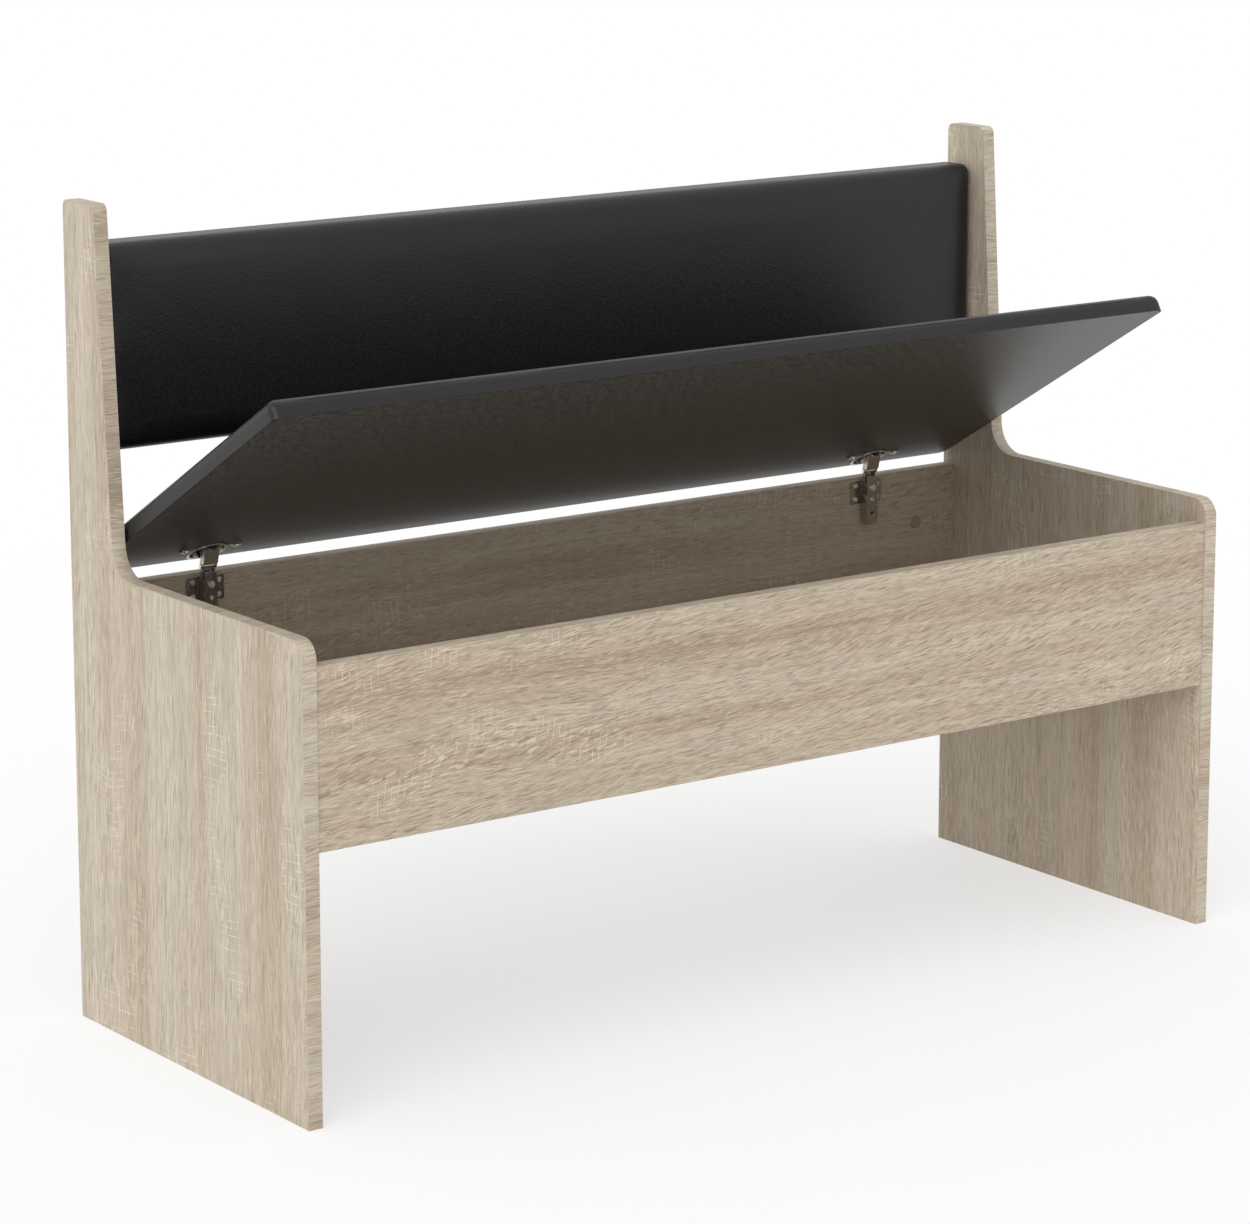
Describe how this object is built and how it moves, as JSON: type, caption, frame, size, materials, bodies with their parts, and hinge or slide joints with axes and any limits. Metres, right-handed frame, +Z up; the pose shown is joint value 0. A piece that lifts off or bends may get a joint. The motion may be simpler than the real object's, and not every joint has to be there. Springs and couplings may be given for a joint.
{
  "type": "storage bench with lift-up seat",
  "caption": "Straight wooden dining bench with a padded backrest between tall side panels and a padded lift-up seat on cup hinges over a storage box.",
  "frame": {"origin": "on the floor, under the middle of the bench", "axes": "+X along the bench to the viewer's right, +Y to the back, +Z up"},
  "size_m": [1.2, 0.4572, 0.872],
  "materials": {
    "oak_decor": "matt oak decor",
    "edge_band": "matt oak decor band",
    "core_board": "raw board",
    "dowel": "raw beech",
    "foam": "open foam",
    "faux_leather": "matt black, fine grain",
    "lining_cloth": "dark spunbond cloth",
    "cap_plastic": "matt beige",
    "fitting_metal": "die cast",
    "screw_steel": "plated",
    "nickel_steel": "nickel plated"
  },
  "bodies": {
    "frame": {"left_side_panel": "oak_decor", "right_side_panel": "oak_decor", "left_side_edge_band": "edge_band", "right_side_edge_band": "edge_band", "front_panel": "oak_decor", "front_panel_edge_bands": "edge_band", "back_panel": "oak_decor", "back_panel_edge_bands": "edge_band", "storage_floor": "oak_decor", "panel_dowels": "dowel", "cam_locks": "fitting_metal", "cam_bolts": "fitting_metal", "cam_caps": "cap_plastic", "backrest_board": "core_board", "backrest_foam": "foam", "backrest_cover": "faux_leather", "backrest_lining": "lining_cloth", "backrest_dowels": "dowel", "left_hinge_plate": "nickel_steel", "right_hinge_plate": "nickel_steel", "left_hinge_arm": "nickel_steel", "right_hinge_arm": "nickel_steel", "hinge_plate_screws": "screw_steel", "hinge_fixing_screws": "screw_steel", "hinge_adjusting_screws": "screw_steel", "hinge_arm_pins": "nickel_steel"},
    "hinge_levers": {"left_hinge_lever": "nickel_steel", "right_hinge_lever": "nickel_steel"},
    "seat_lid": {"seat_board": "core_board", "seat_foam": "foam", "seat_cover": "faux_leather", "seat_lining": "lining_cloth", "left_hinge_cup": "nickel_steel", "right_hinge_cup": "nickel_steel", "hinge_cup_pins": "nickel_steel", "hinge_cup_screws": "screw_steel"}
  },
  "joints": [
    {"name": "hinge_swing", "type": "hinge", "parent": "frame", "child": "hinge_levers", "pos_m": [0, 0.19944, 0.4735], "axis": [-1, 0, 0], "range_deg": [-82.45, 54.6]},
    {"name": "seat_tilt", "type": "hinge", "parent": "hinge_levers", "child": "seat_lid", "pos_m": [0, 0.19226, 0.49948], "axis": [1, 0, 0], "range_deg": [-52.25, 34.6]}
  ],
  "couplings": [
    {"joint": "hinge_swing", "follows": "seat_tilt", "ratio": 1.578}
  ]
}
